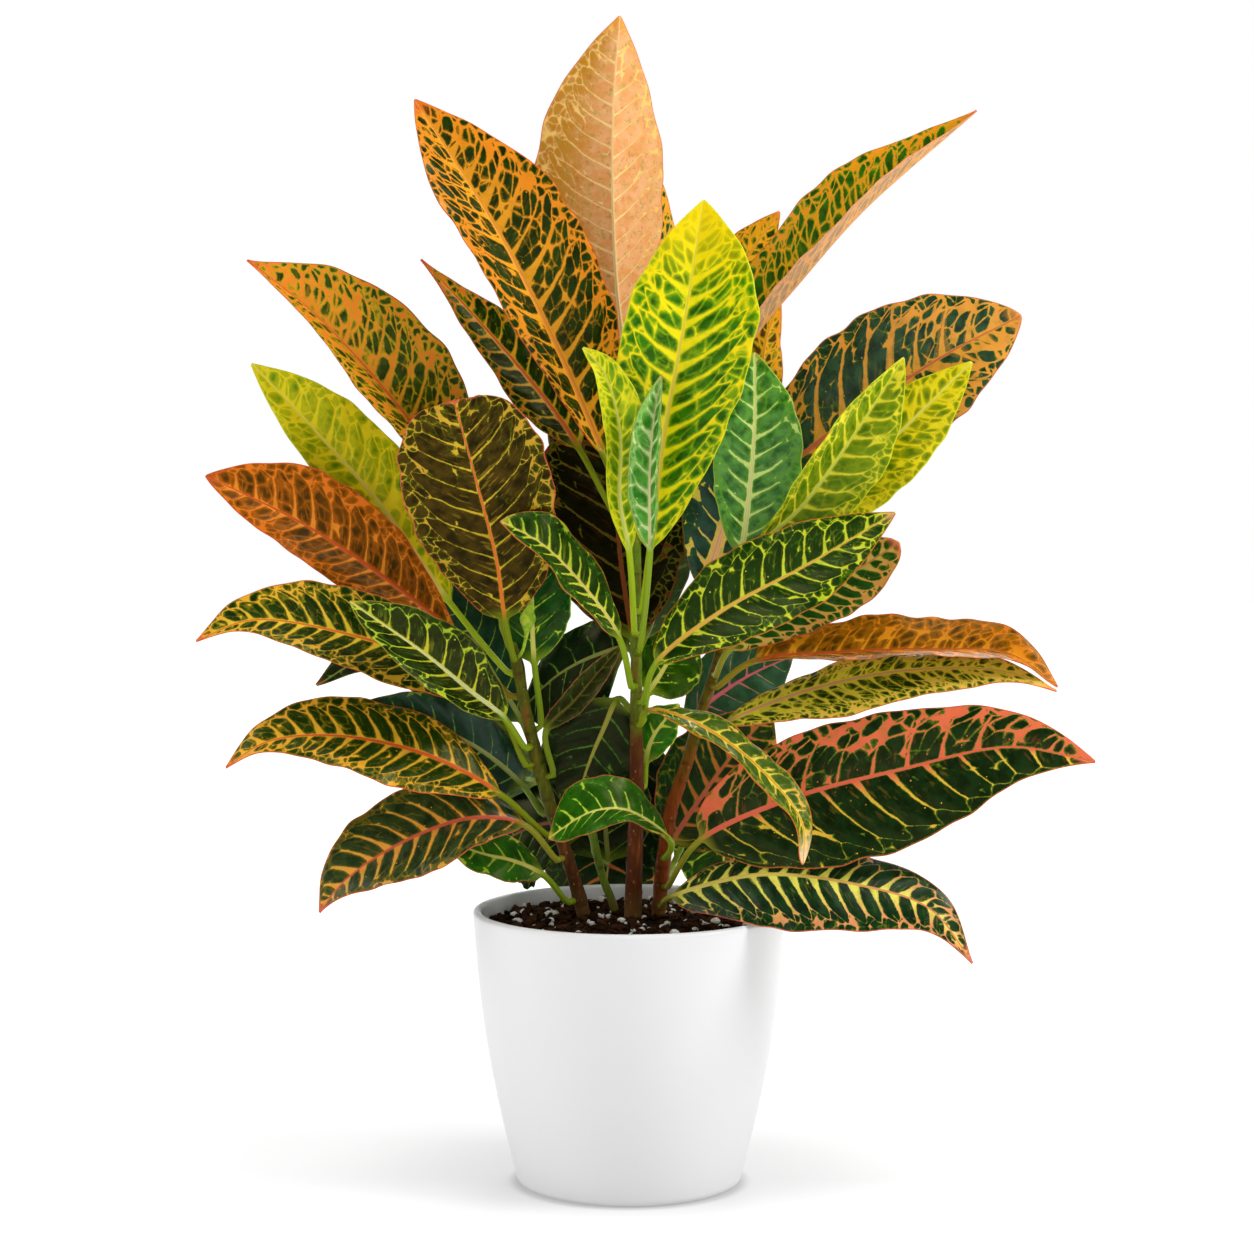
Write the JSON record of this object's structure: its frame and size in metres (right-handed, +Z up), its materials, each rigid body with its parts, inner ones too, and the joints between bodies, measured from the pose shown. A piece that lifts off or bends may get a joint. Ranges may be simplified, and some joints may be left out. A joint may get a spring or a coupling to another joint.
{
  "type": "potted plant",
  "caption": "Upright croton with waved, vein-patterned leathery leaves on woody stems, planted in a round tapered white pot filled with soil.",
  "frame": {"origin": "centre of the pot's flat underside", "axes": "+Z up along the pot's axis, -Y towards the side seen first, +X to that viewer's right"},
  "size_m": [0.4724, 0.2044, 0.634],
  "materials": {
    "pot": "smooth white glaze, satin gloss",
    "soil": "loose bark-based potting mix",
    "bark": "thin brown bark, green towards the tips",
    "shoot": "green, soft",
    "green": "waxy, dark green with coloured veins",
    "lime": "waxy, yellow-green young leaf",
    "amber": "waxy, orange veins over olive",
    "blush": "matte salmon underside",
    "umber": "waxy, very dark with red and orange veins"
  },
  "bodies": {
    "root": {"pot": "pot", "soil": "soil", "stem_left": "bark", "stem_centre": "bark", "stem_right": "bark", "shoot_low": "shoot", "leaf_centre_01": "blush", "leaf_centre_02": "umber", "leaf_centre_03": "amber", "leaf_centre_04": "amber", "leaf_centre_05": "amber", "leaf_centre_06": "green", "leaf_centre_07": "lime", "leaf_centre_08": "lime", "leaf_centre_09": "lime", "leaf_centre_10": "umber", "leaf_centre_11": "green", "leaf_centre_12": "green", "leaf_centre_13": "green", "leaf_centre_14": "green", "leaf_centre_15": "green", "leaf_centre_16": "green", "leaf_centre_17": "green", "leaf_centre_18": "green", "leaf_centre_19": "green", "leaf_centre_20": "green", "leaf_left_01": "umber", "leaf_left_02": "amber", "leaf_left_03": "lime", "leaf_left_04": "amber", "leaf_left_06": "green", "leaf_left_07": "green", "leaf_left_08": "green", "leaf_left_09": "green", "leaf_left_10": "green", "leaf_left_11": "green", "leaf_left_12": "green", "leaf_left_13": "green", "leaf_left_14": "green", "leaf_left_15": "green", "leaf_left_16": "green", "leaf_left_17": "green", "leaf_right_01": "green", "leaf_right_02": "amber", "leaf_right_03": "green", "leaf_right_04": "lime", "leaf_right_05": "lime", "leaf_right_06": "green", "leaf_right_07": "green", "leaf_right_08": "amber", "leaf_right_09": "green", "leaf_right_10": "green", "leaf_right_11": "green", "leaf_right_12": "green", "leaf_right_13": "green", "leaf_right_14": "green", "leaf_right_15": "green", "leaf_right_16": "green", "leaf_low_01": "green", "leaf_low_02": "green"}
  },
  "joints": []
}
